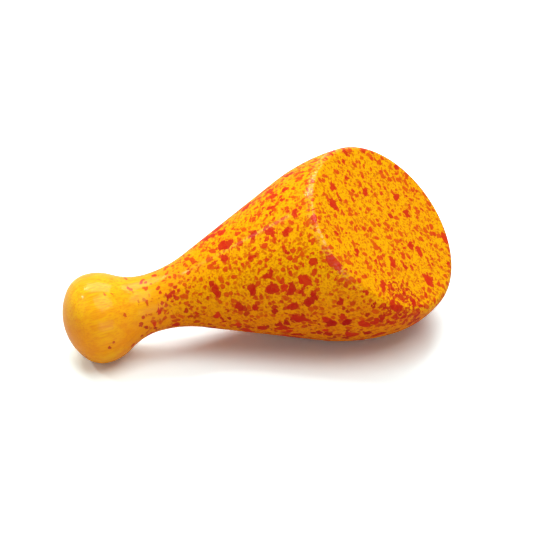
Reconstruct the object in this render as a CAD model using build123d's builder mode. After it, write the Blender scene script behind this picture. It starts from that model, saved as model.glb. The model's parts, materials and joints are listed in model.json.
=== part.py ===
"""Drumstick-shaped wooden shaker: a turned body with a slanted flat cut, drilled
through the cut, filled with loose steel shot and closed by a glued disc.

The shaker lies on its side on the plane z = 0, resting on its knob and on its wide end.
The origin is the middle of its footprint, +X points to the wide end, +Z is up.
All sizes are in millimetres.
"""

from build123d import *
import math
import os

os.makedirs("parts", exist_ok=True)

# ---- turned outline: every stretch runs smoothly into the next ----
thigh_radius = 33.0        # half-ball that forms the wide end
shoulder_radius = 65.0     # arc from the straight flank into the half-ball
flank_length = 39.6        # straight flank, measured along its slope
flare_radius = 38.0        # hollow arc from the neck out to the flank
neck_radius = 10.0         # thinnest place of the neck
throat_radius = 20.0       # hollow arc from the neck back out to the knob
knob_radius = 15.6         # ball of the knob, on the side of the neck
knob_end_depth = 11.8      # from the knob's widest place to its outer end
knob_edge_radius = 9.8     # arc from the widest place round to the flatter outer end

# ---- slanted flat cut across the wide end ----
cut_angle = 46.0           # between the turning axis and the cut's outward normal
cut_offset = 10.5          # from the centre of the half-ball to the cut
cut_edge_radius = 2.5      # rounding of the cut's rim
cut_roll = 34.5            # lean of the cut away from straight up, towards -Y

# ---- chamber drilled square to the cut, and the disc that closes it ----
chamber_radius = 16.0
chamber_depth = 26.0       # below the disc's seat
seat_ledge = 3.5           # width of the step that the disc is glued down on
disc_thickness = 6.0
disc_bevel = 0.6           # lead-in round the disc's inner edge
glue_line = 0.02           # radial gap between the disc and its recess, filled by glue

# ---- loose shot ----
shot_diameter = 4.5
shot_count = 40
shot_gap = 0.3             # clearance between neighbours and to the chamber


def rad(degrees):
    return math.radians(degrees)


# Half-angle of the flank: the slope at which the two arcs and the straight flank
# together climb from the neck's radius to the half-ball's.
arc_sum = shoulder_radius + flare_radius
climb = thigh_radius - neck_radius
flank_angle = math.degrees(
    math.acos((arc_sum - climb) / math.hypot(arc_sum, flank_length))
    - math.atan2(flank_length, arc_sum)
)

# Stations along the turning axis, from the centre of the half-ball towards the knob.
flank_end = -shoulder_radius * math.sin(rad(flank_angle))
flank_start = flank_end - flank_length * math.cos(rad(flank_angle))
neck_station = flank_start - flare_radius * math.sin(rad(flank_angle))
throat_reach = math.sqrt(
    (knob_radius + throat_radius) ** 2 - (neck_radius + throat_radius) ** 2
)
knob_station = neck_station - throat_reach
throat_angle = math.degrees(math.atan2(neck_radius + throat_radius, throat_reach))

# The knob's outer end is one flatter arc about the axis, tangent to the edge arc.
crown_radius = (knob_end_depth**2 + knob_radius**2 - 2 * knob_radius * knob_edge_radius) / (
    2 * (knob_end_depth - knob_edge_radius)
)
crown_station = knob_station - knob_end_depth + crown_radius
crown_angle = math.degrees(
    math.atan2(knob_radius - knob_edge_radius, crown_radius - knob_end_depth)
)

# Lying on its side: the line that touches the knob and the shoulder from below.
centre_drop = shoulder_radius - thigh_radius
lie_angle = math.degrees(
    math.asin((shoulder_radius - knob_radius) / math.hypot(knob_station, centre_drop))
    - math.atan2(centre_drop, -knob_station)
)
axis_direction = Vector(math.cos(rad(lie_angle)), 0, math.sin(rad(lie_angle)))
thigh_height = shoulder_radius - centre_drop * math.cos(rad(lie_angle))

# The cut's outward normal leans from the axis towards up, and round it towards -Y.
up_square_to_axis = Vector(-math.sin(rad(lie_angle)), 0, math.cos(rad(lie_angle)))
lean_direction = up_square_to_axis * math.cos(rad(cut_roll)) + Vector(0, -1, 0) * math.sin(
    rad(cut_roll)
)
cut_normal = axis_direction * math.cos(rad(cut_angle)) + lean_direction * math.sin(rad(cut_angle))


def reach_of_wide_end(direction):
    """How far the cut and rounded half-ball stands out from its centre in a direction."""
    towards_cut = direction.dot(cut_normal)
    across_cut = math.sqrt(1 - towards_cut**2)
    ring_offset = cut_offset - cut_edge_radius
    ring_radius = math.sqrt((thigh_radius - cut_edge_radius) ** 2 - ring_offset**2)
    if towards_cut / across_cut < ring_offset / ring_radius:
        return thigh_radius
    return ring_offset * towards_cut + ring_radius * across_cut + cut_edge_radius


reach_back = crown_radius - crown_station * math.cos(rad(lie_angle))
reach_ahead = reach_of_wide_end(Vector(1, 0, 0))
reach_near = reach_of_wide_end(Vector(0, -1, 0))
reach_far = reach_of_wide_end(Vector(0, 1, 0))
thigh_centre = Vector(
    (reach_back - reach_ahead) / 2, (reach_near - reach_far) / 2, thigh_height
)

# Planes and axis that everything else is placed by.
outline_plane = Plane(origin=thigh_centre, x_dir=axis_direction, z_dir=(0, -1, 0))
turning_axis = Axis(thigh_centre, axis_direction)
cut_axis = Axis(thigh_centre, cut_normal)
cut_plane = Plane(
    origin=thigh_centre + cut_normal * cut_offset,
    x_dir=axis_direction - cut_normal * axis_direction.dot(cut_normal),
    z_dir=cut_normal,
)
seat_radius = chamber_radius + seat_ledge
seat_plane = cut_plane.offset(-disc_thickness)
floor_plane = seat_plane.offset(-chamber_depth)

# ---- turned body ----
with BuildPart() as turned_body:
    with BuildSketch(outline_plane):
        with BuildLine():
            crown = CenterArc((crown_station, 0), crown_radius, 180, -crown_angle)
            edge_centre = (knob_station, knob_radius - knob_edge_radius)
            CenterArc(edge_centre, knob_edge_radius, 180 - crown_angle, crown_angle - 90)
            CenterArc((knob_station, 0), knob_radius, 90, throat_angle - 90)
            throat_centre = (neck_station, neck_radius + throat_radius)
            CenterArc(throat_centre, throat_radius, throat_angle + 180, 90 - throat_angle)
            flare_centre = (neck_station, neck_radius + flare_radius)
            flare = CenterArc(flare_centre, flare_radius, 270, flank_angle)
            shoulder_centre = (0, thigh_radius - shoulder_radius)
            shoulder = CenterArc(shoulder_centre, shoulder_radius, 90 + flank_angle, -flank_angle)
            Line(flare @ 1, shoulder @ 0)
            wide_end = CenterArc((0, 0), thigh_radius, 90, -90)
            Line(wide_end @ 1, crown @ 0)
        make_face()
    revolve(axis=turning_axis)
    split(bisect_by=cut_plane, keep=Keep.BOTTOM)
    cut_face = turned_body.faces().filter_by(GeomType.PLANE).sort_by(cut_axis)[-1]
    fillet(cut_face.edges(), radius=cut_edge_radius)
    with Locations(cut_plane):
        CounterBoreHole(
            radius=chamber_radius,
            counter_bore_radius=seat_radius,
            counter_bore_depth=disc_thickness,
            depth=disc_thickness + chamber_depth,
        )

turned_body.part.label = "turned_body"
export_step(turned_body.part, "parts/turned_body.step")

# ---- disc glued flush into the cut ----
with BuildPart() as face_disc:
    with BuildSketch(cut_plane):
        Circle(seat_radius - glue_line)
    extrude(amount=-disc_thickness)
    inner_edge = face_disc.edges().sort_by(cut_axis)[0]
    chamfer(inner_edge, length=disc_bevel)

face_disc.part.label = "face_disc"
export_step(face_disc.part, "parts/face_disc.step")

# ---- shot: lanes run along the chamber, side by side as in a honeycomb ----
lane_pitch = shot_diameter + shot_gap
row_pitch = lane_pitch * math.sqrt(3) / 2
lane_limit = chamber_radius - shot_gap - shot_diameter / 2
row_limit = int(lane_limit // row_pitch) + 1
stack_limit = int((chamber_depth - shot_gap) // lane_pitch)

places = []
for row in range(-row_limit, row_limit + 1):
    row_shift = lane_pitch / 2 if row % 2 else 0
    for column in range(-row_limit, row_limit + 1):
        across = column * lane_pitch + row_shift
        along = row * row_pitch
        if math.hypot(across, along) > lane_limit:
            continue
        for layer in range(stack_limit):
            height = shot_gap + shot_diameter / 2 + layer * lane_pitch
            centre = floor_plane.from_local_coords((across, along, height))
            places.append((centre.Z, (row, column), centre))
places.sort(key=lambda place: place[0])

# The shot lie in the lowest places. Shot in one lane are listed from its floor up.
lanes = {}
for number, (_, lane, centre) in enumerate(places[:shot_count], start=1):
    shot_name = f"shot_{number:02d}"
    lanes.setdefault(lane, []).append(shot_name)
    with BuildPart() as shot:
        with Locations(centre):
            Sphere(shot_diameter / 2)
    shot.part.label = shot_name
    export_step(shot.part, f"parts/{shot_name}.step")

overall_length = thigh_radius + knob_end_depth - knob_station
floor_offset = disc_thickness + chamber_depth - cut_offset
thinnest_wall = thigh_radius - math.hypot(chamber_radius, floor_offset)
print(f"overall length before the cut {overall_length:.2f}")
print(f"flank half-angle {flank_angle:.2f}, lies at {lie_angle:.2f} degrees")
print(f"thinnest wall, beside the chamber's floor, {thinnest_wall:.2f}")
print(f"{shot_count} shot in {len(lanes)} lanes of {sorted(len(lane) for lane in lanes.values())}")
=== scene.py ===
# %% [markdown]
# # A turned wooden shaker in the shape of a drumstick
#
# The real object is one piece of hardwood, turned on a lathe: a knob, a slim neck, a
# straight flank and a round wide end with one slanted flat cut. It is stained golden
# yellow, spattered with orange and red paint, and lacquered. Its inside can't be seen.
# What is modelled there is a reasoned guess: steel shot in a chamber that is drilled in
# through the cut, with a wooden disc glued flush over it.
#
# The imported model already holds every piece at its real size, so this script adds only
# what the construction can't say: the camera, the light and the finishes. Loading leaves
# all the pieces selected, and an operator acts on what is selected, so they are
# deselected first. The box is measured and printed now.

import bpy
import json
import math
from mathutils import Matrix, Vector


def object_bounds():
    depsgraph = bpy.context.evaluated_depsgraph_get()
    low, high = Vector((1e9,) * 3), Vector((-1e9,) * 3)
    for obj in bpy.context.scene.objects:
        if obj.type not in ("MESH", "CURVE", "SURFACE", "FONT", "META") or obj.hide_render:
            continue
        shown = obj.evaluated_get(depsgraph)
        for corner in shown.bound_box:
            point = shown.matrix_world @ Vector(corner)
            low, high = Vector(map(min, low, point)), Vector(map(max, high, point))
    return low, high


MM = 1000.0

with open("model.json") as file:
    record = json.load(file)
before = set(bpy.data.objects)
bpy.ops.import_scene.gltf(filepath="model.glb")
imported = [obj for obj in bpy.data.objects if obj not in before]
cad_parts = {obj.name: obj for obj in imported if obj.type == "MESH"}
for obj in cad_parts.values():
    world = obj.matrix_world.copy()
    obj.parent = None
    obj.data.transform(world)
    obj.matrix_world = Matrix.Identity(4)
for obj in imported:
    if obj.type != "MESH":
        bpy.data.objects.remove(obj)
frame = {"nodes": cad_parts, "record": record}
cad_low, cad_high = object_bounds()
scene = bpy.context.scene
bpy.ops.object.select_all(action="DESELECT")
print("nodes", len(frame["nodes"]), "box in mm", [round(MM * x, 1) for x in cad_high - cad_low])

# %% [markdown]
# ## Camera
# The camera stands well back with a long lens, so that the near knob isn't enlarged. It
# looks down by about a third of a right angle, a little from the knob's side. Camera and
# lamps are all placed in the same way, as one would with a tripod: a compass direction,
# a height in degrees and a distance from what they point at.

# %% Camera
CAMERA_AZIMUTH = -12.56
CAMERA_ELEVATION = 34.0
CAMERA_DISTANCE = 1.0237
LENS_MM = 202.6
SENSOR_MM = 36.0
AIM_SHIFT = Vector((0.0024, 0.0, -0.0033))
middle = (cad_low + cad_high) / 2


def direction_from(azimuth, elevation):
    """The way towards something seen at this azimuth and elevation. Azimuth 0 is -Y."""
    turn, rise = math.radians(azimuth), math.radians(elevation)
    flat = math.cos(rise)
    return Vector((math.sin(turn) * flat, -math.cos(turn) * flat, math.sin(rise)))


def stand_off(thing, target, azimuth, elevation, distance):
    """Puts a camera or a lamp at a distance from a target, and points it there."""
    back = direction_from(azimuth, elevation)
    thing.location = target + back * distance
    thing.rotation_euler = back.to_track_quat("Z", "Y").to_euler()


bpy.ops.object.camera_add()
camera = bpy.context.object
camera.name = "product_camera"
camera.data.sensor_width = SENSOR_MM
camera.data.lens = LENS_MM
camera.data.clip_start = 0.05
camera.data.clip_end = 20.0
stand_off(camera, middle + AIM_SHIFT, CAMERA_AZIMUTH, CAMERA_ELEVATION, CAMERA_DISTANCE)
scene.camera = camera
print("camera at", [round(x, 3) for x in camera.location], "lens", LENS_MM, "mm")

# %% [markdown]
# ## Shader maths as Python
# Node trees are quicker to read as formulas. `Wire` wraps one output socket, and the
# operators on it add Math nodes, or Vector Math nodes where a colour or a place is
# involved. So `1 - mask` or `place * 2` makes the nodes that it says.


# %% Wires
class Wire:
    """One output socket. Operators on it add the nodes that work the result out."""

    def __init__(self, finish, socket):
        self.finish = finish
        self.socket = socket

    def maths(self, operation, *values):
        kind = "ShaderNodeMath"
        kinds = {v.socket.type for v in values if isinstance(v, Wire)}
        if kinds & {"VECTOR", "RGBA"}:
            kind = "ShaderNodeVectorMath"
        return self.finish.node(kind, {"operation": operation}, *values)

    def beside(self, name):
        """Another output of the same node."""
        return Wire(self.finish, self.socket.node.outputs[name])

    def __add__(self, other):
        return self.maths("ADD", self, other)

    def __sub__(self, other):
        return self.maths("SUBTRACT", self, other)

    def __rsub__(self, other):
        return self.maths("SUBTRACT", other, self)

    def __mul__(self, other):
        return self.maths("MULTIPLY", self, other)

    __radd__ = __add__
    __rmul__ = __mul__


# %% [markdown]
# A `Finish` owns the nodes of one material, or of the world. Its one method makes a node
# of any kind. A node's settings come first, because a setting such as the operation or
# the data type decides which sockets are in use. Then come the values, in the order of
# the sockets or by name. It returns the first output, or the one that is named.


# %% Finishes
class Finish:
    """The nodes of one material, or of the world."""

    def __init__(self, owner):
        owner.use_nodes = True
        self.owner = owner
        self.tree = owner.node_tree
        self.tree.nodes.clear()

    def node(self, kind, settings, *values, output=None, **named):
        """Adds a node, its settings first and then its sockets, and returns an output."""
        made = self.tree.nodes.new(kind)
        for setting, value in settings.items():
            setattr(made, setting, value)
        sockets = [s for s in made.inputs if s.enabled]
        pairs = list(zip(sockets, values))
        pairs += [(made.inputs[key.replace("_", " ")], v) for key, v in named.items()]
        for socket, value in pairs:
            if isinstance(value, Wire):
                self.tree.links.new(value.socket, socket)
            elif socket.type == "VECTOR" and isinstance(value, (int, float)):
                socket.default_value = (value, value, value)
            else:
                socket.default_value = value
        outputs = [s for s in made.outputs if s.enabled and output in (None, s.name)]
        return Wire(self, outputs[0]) if outputs else None


def material(name):
    return Finish(bpy.data.materials.new(name))


# %% [markdown]
# Three steps come back in every finish. Colours lie over each other by a share, as coats
# of paint do. A soft step turns a measure into such a share, and it turns round when its
# first value is the greater one. The rest is Vector Math, which has many operations.
# Every pattern starts from a place on the object itself, so it moves with the piece.


# %% Coats, soft steps and vectors
def mix(finish, share, under, over):
    """One colour over another, by a share from 0 to 1."""
    return finish.node("ShaderNodeMix", {"data_type": "RGBA"}, share, under, over)


def smooth(finish, value, low, high):
    """0 at low, 1 at high, and a smooth step between them."""
    return finish.node("ShaderNodeMapRange", {"interpolation_type": "SMOOTHSTEP"},
                       value, low, high, 0.0, 1.0)


def vector(finish, operation, *values, **named):
    """One Vector Math node: a dot product, a length and so on."""
    return finish.node("ShaderNodeVectorMath", {"operation": operation}, *values, **named)


def object_place(finish):
    """Where a point lies on the object, in metres from the object's origin."""
    return finish.node("ShaderNodeTexCoord", {}, output="Object")


# %% [markdown]
# ## Who sees the white
# The shaker lies on a white sheet that runs into a white room. So much white, close
# by, would flood the shaker with light and wash its colours out. A ray knows where it
# comes from, so the floor and the room can be plain white for the camera, and for what
# gloss and metal mirror, and stay modest for the light that falls on the shaker.


# %% Kinds of ray
def rays(finish):
    """Two switches: one for camera rays, and one for camera, gloss and glass rays."""
    seen = finish.node("ShaderNodeLightPath", {}, output="Is Camera Ray")
    mirrored = seen.beside("Is Glossy Ray") + seen.beside("Is Transmission Ray")
    either = {"operation": "ADD", "use_clamp": True}
    return seen, finish.node("ShaderNodeMath", either, seen, mirrored)


# %% [markdown]
# ## Floor sheet
# Around the shaker the sheet is ordinary matt paper that takes the shadow, only brighter
# for the camera. From 12 cm out it blends into plain white, so that no edge shows where
# the sheet ends and the room begins.

# %% Floor sheet
FLOOR_WIDTH = 6.0
SHADOW_REACH = 0.12
WHITE_FROM = 0.3
WHITE = (1.0, 1.0, 1.0, 1.0)
MATT_WHITE = (0.65, 0.65, 0.65, 1.0)
BRIGHT_WHITE = (1.24, 1.44, 1.45, 1.0)


def white_sheet():
    finish = material("white_sheet")
    camera_ray, white_ray = rays(finish)
    paper = mix(finish, camera_ray, MATT_WHITE, BRIGHT_WHITE)
    matt = finish.node("ShaderNodeBsdfDiffuse", {}, paper)
    plain = finish.node("ShaderNodeEmission", {}, WHITE)
    away = vector(finish, "LENGTH", object_place(finish))
    far = smooth(finish, away, SHADOW_REACH, WHITE_FROM) * white_ray
    finish.node("ShaderNodeOutputMaterial", {},
                Surface=finish.node("ShaderNodeMixShader", {}, far, matt, plain))
    return finish.owner


bpy.ops.mesh.primitive_plane_add(size=FLOOR_WIDTH)
floor = bpy.context.object
floor.name = "floor_sheet"
floor.data.materials.append(white_sheet())
print("floor", FLOOR_WIDTH, "m wide, white from", WHITE_FROM, "m")

# %% [markdown]
# ## White room
# The room gives only a little light from all sides, which fills the deepest shadow. Its
# colours are to come out as they are mixed, so the view uses the Standard transform.

# %% White room
AMBIENT = 0.13

room = Finish(bpy.data.worlds.new("white_room"))
camera_ray, white_ray = rays(room)
sky = room.node("ShaderNodeBackground", {}, WHITE, AMBIENT + (1 - AMBIENT) * white_ray)
room.node("ShaderNodeOutputWorld", {}, Surface=sky)
scene.world = room.owner
scene.view_settings.view_transform = "Standard"
print("ambient light", AMBIENT)

# %% [markdown]
# ## Lamps
# The shaker lies in a light tent. A long box behind it gives the sheen along the top and
# throws the short shadow forwards. Wide boxes overhead, at the left and low in front
# fill the sides. Two small lamps are there mainly for the lacquer's glints, one on the
# knob and one along the rim of the cut. Each box is named with its azimuth, elevation,
# width, height and power.

# %% Lamps
LAMP_DISTANCE = 1.2


def soft_box(name, azimuth, elevation, width, height, power):
    """A rectangular lamp that faces the shaker."""
    bpy.ops.object.light_add(type="AREA")
    lamp = bpy.context.object
    lamp.name = name
    lamp.data.shape = "RECTANGLE"
    lamp.data.size = width
    lamp.data.size_y = height
    lamp.data.energy = power
    stand_off(lamp, middle, azimuth, elevation, LAMP_DISTANCE)
    print(name, power, "W at", [round(x, 2) for x in lamp.location])


soft_box("back_box", 170, 59, 1.0, 0.65, 12.2)
soft_box("top_box", 30, 72, 0.8, 0.9, 8.6)
soft_box("left_box", -90, 38, 0.9, 0.9, 1.2)
soft_box("front_box", 8, 12, 1.0, 0.5, 2.9)
soft_box("knob_glint", -112, 44, 0.06, 0.06, 1.8)
soft_box("rim_glint", -146, 50, 0.2, 0.2, 2.0)

# %% [markdown]
# ## Measures on the shaker
# Grain follows the turning axis, and the spatter thins out towards the neck, so both
# need places measured along that axis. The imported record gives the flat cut's place and
# direction. The axis starts from the half-ball's centre behind the cut and dips to the
# knob. Patterns are laid out in millimetres, in which drops and grain are easy to judge.

# %% Turning axis
CUT_OFFSET = 0.0105
LIE_ANGLE = math.radians(10.89)
cut = frame["record"]["mounts"][0]
cut_normal = Vector(cut["axis"])
thigh_centre = Vector(cut["pos_m"]) - cut_normal * CUT_OFFSET
axis = Vector((math.cos(LIE_ANGLE), 0, math.sin(LIE_ANGLE)))
side = Vector((0, 1, 0))
up = Vector((-axis.z, 0, axis.x))


def from_thigh(finish):
    """Millimetres from the half-ball's centre, in the model's own directions."""
    return (object_place(finish) - tuple(thigh_centre)) * MM


def turned(finish, point):
    """The same place as measured along the turning axis, sideways and up."""
    lengths = (vector(finish, "DOT_PRODUCT", point, tuple(way)) for way in (axis, side, up))
    return finish.node("ShaderNodeCombineXYZ", {}, *lengths)


print("half-ball's centre in mm", [round(MM * x, 1) for x in thigh_centre])

# %% [markdown]
# ## Colours
# Colours are judged on a screen, from 0 to 255, and shaders work with linear light, so
# each one is converted. The stained wood runs from gold to lemon, with amber in the grain,
# and a paler straw on top is painted sheen, where the light falls brightest. The paint
# runs from brownish flecks over orange to a deep crimson.

# %% Colours


def srgb(red, green, blue):
    """A colour as it is mixed, 0 to 255, as the linear values that shaders use."""
    def linear(value):
        value /= 255
        return value / 12.92 if value <= 0.04045 else ((value + 0.055) / 1.055) ** 2.4
    return (linear(red), linear(green), linear(blue), 1.0)


GOLD = srgb(248, 157, 2)
LEMON = srgb(251, 182, 4)
# painted sheen: the paler straw of the top side, where the light falls brightest
PAINTED_SHEEN_STRAW = srgb(253, 204, 14)
AMBER = srgb(236, 132, 3)
FLECK = srgb(208, 98, 5)
ORANGE = srgb(218, 82, 10)
VERMILION = srgb(214, 48, 18)
CRIMSON = srgb(174, 10, 16)
BLOT = tuple((one + other) / 2 for one, other in zip(VERMILION, CRIMSON))
BARE_WOOD = srgb(222, 190, 146)
STEEL = srgb(196, 198, 202)
print("gold as linear light", [round(x, 3) for x in GOLD[:3]])

# %% [markdown]
# ## Drops
# Paint flicked from a brush lands as drops of every size, some round and some drawn out
# in the direction of flight. A 3-D Voronoi pattern gives each cell one drop, whose size,
# direction and very presence come from the cell's random colour: red gives the size,
# green says whether it is there, and blue is left for its tint. Soft noise pushes its
# outline in and out. The surface cuts these solid drops, so they never stretch at a pole
# or break at a seam.

# %% Noise and drops
SMALLEST_DROP = 0.35
EDGE_BLUR = 0.07


def noise(finish, place, size, detail=2.0, output=None):
    """Soft 3-D noise whose lumps are about this many millimetres across."""
    return finish.node("ShaderNodeTexNoise", {"noise_dimensions": "3D"}, Vector=place,
                       Scale=1 / size, Detail=detail, output=output)


def drops(finish, place, share, pitch, radius, stretch, ragged, shift):
    """Drops up to a radius, in a share of cells: their mask and a random number for each."""
    moved = place + (shift, 2 * shift, -shift)
    wobble = noise(finish, moved, 0.9 * radius, output="Color") - 0.5
    moved = moved + wobble * (ragged * radius)
    centre = finish.node("ShaderNodeTexVoronoi", {}, Vector=moved, Scale=1 / pitch,
                         output="Position")
    luck = centre.beside("Color")
    red = finish.node("ShaderNodeSeparateColor", {}, luck)
    away = moved - centre
    heading = vector(finish, "NORMALIZE", luck - 0.5)
    flown = vector(finish, "DOT_PRODUCT", away, heading)
    drawn_out = vector(finish, "SCALE", heading, Scale=flown * stretch)
    reach = vector(finish, "LENGTH", away - drawn_out)
    size = (SMALLEST_DROP + (1 - SMALLEST_DROP) * red) * radius
    there = finish.node("ShaderNodeMath", {"operation": "LESS_THAN"}, red.beside("Green"), share)
    return smooth(finish, size - reach, -EDGE_BLUR, EDGE_BLUR) * there, red.beside("Blue")


# %% [markdown]
# ## Where the spray falls
# The paint thins out at the neck, as if the shaker had been held by its knob. The edge
# wanders, and only a few stray spots reach the knob. The paint is heavier away from the
# flat cut, and most of all on the side that lies underneath, which is also darker, partly
# as painted shade.

# %% Places on the wood
SPRAY_EDGE = (-92.0, -58.0)
SPRAY_WANDER = 16.0
WANDER_SIZE = 7.0
AWAY_FROM_CUT = (0.5, -4.0)
LOWER_SIDE = (16.0, -8.0)


class Places:
    """Where a point of the wood lies, in millimetres, and how much spray reaches it."""

    def __init__(self, finish):
        self.point = from_thigh(finish)
        self.lathe = turned(finish, self.point)
        along = finish.node("ShaderNodeSeparateXYZ", {}, self.lathe)
        self.above = along.beside("Z")
        from_cut = vector(finish, "DOT_PRODUCT", self.point, tuple(cut_normal))
        self.height = from_cut - MM * CUT_OFFSET
        wander = SPRAY_WANDER * (noise(finish, self.lathe, WANDER_SIZE) - 0.5)
        self.edge = along - 0.5 * self.above + wander
        self.reached = smooth(finish, self.edge, *SPRAY_EDGE)
        self.heavy = smooth(finish, self.height, *AWAY_FROM_CUT)
        # under: heavier spray on the lower side, and where shade is painted there
        self.under = self.heavy * smooth(finish, self.above, *LOWER_SIDE)


print("spray fades over", SPRAY_EDGE[1] - SPRAY_EDGE[0], "mm of the neck")

# %% [markdown]
# ## Golden stain, and painted sheen on top
# Stain sinks in unevenly: broad clouds of gold and lemon. The top side, away from the
# spray, is a little paler, as painted sheen where the light falls brightest. The grain
# takes up more of the stain and turns amber. Its noise is squeezed along the axis, which
# draws every lump out into a long streak.

# %% Golden stain, and painted sheen on top
UPPER_SIDE = (3.0, 16.0)
CLOUD_SIZE = 14.0
GRAIN_SIZE = 0.45
GRAIN_SQUEEZE = (0.03, 1.0, 1.0)
FIGURE_SIZE = 2.0
FIGURE_SQUEEZE = (0.05, 1.0, 1.0)


def stain_and_sheen(finish, at):
    """The stained wood's colour with painted sheen on top, and the fine grain that the lacquer
    follows.
    """
    clouds = smooth(finish, noise(finish, at.lathe, CLOUD_SIZE), 0.35, 0.7)
    colour = mix(finish, clouds, GOLD, LEMON)
    # painted sheen: the top side, away from the spray, is mixed towards a paler straw where the
    # light falls brightest
    painted_sheen = smooth(finish, at.above, *UPPER_SIDE) * (1 - at.reached)
    colour = mix(finish, painted_sheen * 0.6, colour, PAINTED_SHEEN_STRAW)
    grain = noise(finish, at.lathe * GRAIN_SQUEEZE, GRAIN_SIZE)
    figure = noise(finish, at.lathe * FIGURE_SQUEEZE, FIGURE_SIZE, 3.0)
    colour = mix(finish, smooth(finish, grain, 0.42, 0.68) * 0.65, colour, AMBER)
    colour = mix(finish, smooth(finish, figure, 0.48, 0.7) * 0.5, colour, AMBER)
    return colour, grain


print("grain is drawn out", round(1 / GRAIN_SQUEEZE[0]), "times")

# %% [markdown]
# ## Spatter, with painted shade underneath
# The coats go on from fine to coarse: a ground, a haze of the finest spray, flecks,
# spots and splashes. Bigger drops are fewer and redder. Underneath, the ground turns amber
# and the drops the deepest red, partly as painted shade. Each size of drop has its own
# cells, so that the sizes overlap freely.

# %% Spatter in four sizes
MIST_SIZE = 0.7
STRAY_EDGE = (-103.0, -93.0)
FLECKS = {"pitch": 1.4, "radius": 0.62, "stretch": 0.5, "ragged": 0.9, "shift": 3.0}
SPOTS = {"pitch": 2.3, "radius": 1.05, "stretch": 0.5, "ragged": 1.0, "shift": 17.0}
SPLASHES = {"pitch": 5.4, "radius": 2.1, "stretch": 0.5, "ragged": 1.3, "shift": 41.0}


def spatter_and_shade(finish, at, colour):
    """The colour with the spray on it, darker underneath partly as painted shade, and how far
    the flecks and spots stand out.
    """
    # partly painted shade: the ground turns amber on the lower side
    ground = mix(finish, at.under * 0.9, LEMON, AMBER)
    colour = mix(finish, at.reached * 0.8, colour, ground)
    mist = smooth(finish, noise(finish, at.lathe, MIST_SIZE, 1.0), 0.5, 0.58)
    colour = mix(finish, mist * at.reached * 0.5, colour, FLECK)

    flecks, luck = drops(finish, at.lathe, 0.95 * at.reached, **FLECKS)
    colour = mix(finish, flecks * 0.75, colour, mix(finish, luck, FLECK, ORANGE))

    stray = 0.12 * smooth(finish, at.edge, *STRAY_EDGE)
    share = at.reached * (0.6 + 0.38 * at.heavy) + stray
    spots, luck = drops(finish, at.lathe, share, **SPOTS)
    # partly painted shade: spots underneath turn from vermilion to crimson
    red = mix(finish, luck, ORANGE, mix(finish, at.under, VERMILION, CRIMSON))
    colour = mix(finish, spots * 0.9, colour, red)

    share = at.reached * (0.28 + 0.5 * at.heavy + 0.2 * at.under)
    splashes, luck = drops(finish, at.lathe, share, **SPLASHES)
    # partly painted shade: splashes underneath lean further to crimson
    deep = mix(finish, luck * (0.35 + 0.6 * at.under), VERMILION, CRIMSON)
    colour = mix(finish, splashes * 0.95, colour, deep)
    return colour, 0.4 * flecks + 0.6 * spots


print("drops up to", [2 * drop["radius"] for drop in (FLECKS, SPOTS, SPLASHES)], "mm wide")

# %% [markdown]
# ## A burst on the rim
# Low on the rim of the cut, a heavy burst of paint has run together into blots. Raising soft
# noise near a chosen place lifts more and more of it over a fixed level, which gives
# blots that are dense in the middle and scattered at the outside.

# %% A burst on the rim
BURST_CENTRE = (7.0, -30.5, -7.5)
BURST_REACH = (19.0, 6.0)
BLOT_SIZE = 1.7
BLOT_LEVEL = (0.98, 1.02)


def burst(finish, at, colour):
    """The colour with the burst of merged blots on it."""
    away = vector(finish, "DISTANCE", at.point, BURST_CENTRE)
    near = 0.5 * smooth(finish, away, *BURST_REACH)
    blots = smooth(finish, noise(finish, at.lathe, BLOT_SIZE) + near, *BLOT_LEVEL)
    return mix(finish, blots * 0.9, colour, BLOT)


print("burst", round(Vector(BURST_CENTRE).length, 1), "mm from the half-ball's centre")

# %% [markdown]
# ## The drilled chamber
# The chamber is taken to be drilled, and its disc glued in, before any paint goes on. So
# the drilled walls and the disc's hidden faces are bare. They are all that lies within
# the recess's radius of the cut's axis, from just under the face to just under the
# chamber's floor.

# %% Bare wood
RECESS_RADIUS = 19.6
BARE_TOP = -0.3
BARE_FLOOR = -32.3
BARE_BLUR = 0.05


def drilled(finish, at):
    """1 in the chamber and on the disc's hidden faces, and 0 on the painted outside."""
    away = vector(finish, "LENGTH", vector(finish, "CROSS_PRODUCT", at.point, tuple(cut_normal)))
    within = smooth(finish, away, RECESS_RADIUS + BARE_BLUR, RECESS_RADIUS - BARE_BLUR)
    sunk = smooth(finish, at.height, BARE_TOP + BARE_BLUR, BARE_TOP - BARE_BLUR)
    above_floor = smooth(finish, at.height, BARE_FLOOR - BARE_BLUR, BARE_FLOOR + BARE_BLUR)
    return within * sunk * above_floor


print("bare for", round(BARE_TOP - BARE_FLOOR, 1), "mm under the face")

# %% [markdown]
# ## Lacquer, and the finished wood
# Clear lacquer is the shader's coat. It shines a little on the plain knob and hardly at
# all on the sprayed paint. The upper rim of the cut glints in dashes, as if hands had
# rubbed the crests of its grain bright. Grain, flecks and spots also stand out slightly,
# as a bump that is measured in tenths of a millimetre.

# %% Painted and lacquered wood
RELIEF = 0.0001
RIM_STARTS = (-2.8, -1.8)
RIM_ENDS = (0.0, -0.4)
RUBBED_SIDE = (2.0, 14.0)
CRESTS = (0.46, 0.54)
PLAIN_COAT = 0.27
SPRAY_DULLS = 0.25
RUBBED_SHINE = 0.7


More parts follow.
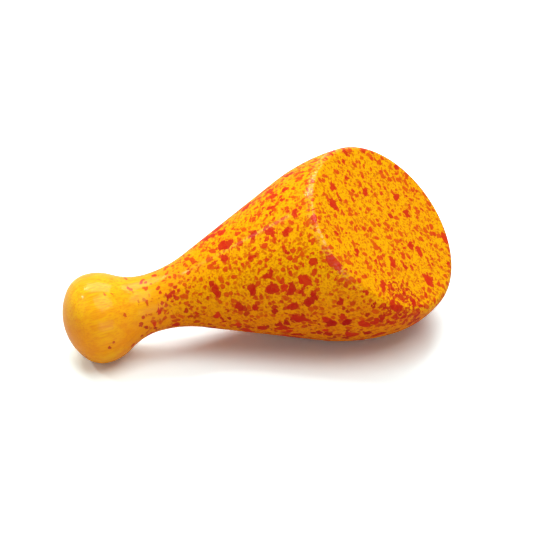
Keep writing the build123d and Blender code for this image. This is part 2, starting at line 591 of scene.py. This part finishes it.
def lacquer(finish, at, grain, bare):
    """How much clear coat lies on the wood."""
    rim = smooth(finish, at.height, *RIM_STARTS) * smooth(finish, at.height, *RIM_ENDS)
    crests = smooth(finish, grain, *CRESTS)
    rubbed = rim * crests * smooth(finish, at.above, *RUBBED_SIDE)
    return (PLAIN_COAT - SPRAY_DULLS * at.reached + RUBBED_SHINE * rubbed) * (1 - bare)


def painted_wood():
    finish = material("painted_wood")
    at = Places(finish)
    colour, grain = stain_and_sheen(finish, at)
    colour, raised = spatter_and_shade(finish, at, colour)
    colour = burst(finish, at, colour)
    bare = drilled(finish, at)
    bump = finish.node("ShaderNodeBump", {}, Strength=0.8, Distance=RELIEF,
                       Height=grain + raised)
    shader = finish.node("ShaderNodeBsdfPrincipled", {}, IOR=1.5, Specular_IOR_Level=0.02,
                         Coat_Roughness=0.13, Normal=bump,
                         Base_Color=mix(finish, bare, colour, BARE_WOOD),
                         Roughness=0.34 + 0.1 * at.reached + 0.2 * bare,
                         Coat_Weight=lacquer(finish, at, grain, bare))
    finish.node("ShaderNodeOutputMaterial", {}, Surface=shader)
    return finish.owner


wood = painted_wood()
for name in ("turned_body", "face_disc"):
    node = frame["nodes"][name]
    node.data.materials.clear()
    node.data.materials.append(wood)
print("painted", wood.name, "with", len(wood.node_tree.nodes), "nodes")

# %% [markdown]
# ## Steel shot
# The filling is a guess as well: bearing steel, which is metal all through and mirrors
# the chamber. It is a little duller in patches, as balls are that rub on each other.

# %% Steel shot
SCUFF_SIZE = 0.8


def steel():
    finish = material("steel_shot")
    scuffs = noise(finish, object_place(finish) * MM, SCUFF_SIZE, 3.0)
    shader = finish.node("ShaderNodeBsdfPrincipled", {}, Base_Color=STEEL, Metallic=1.0,
                         Roughness=0.18 + 0.25 * scuffs)
    finish.node("ShaderNodeOutputMaterial", {}, Surface=shader)
    return finish.owner


shot_steel = steel()
shot = [node for name, node in frame["nodes"].items() if name.startswith("shot_")]
for node in shot:
    node.data.materials.clear()
    node.data.materials.append(shot_steel)
print("shot", len(shot))
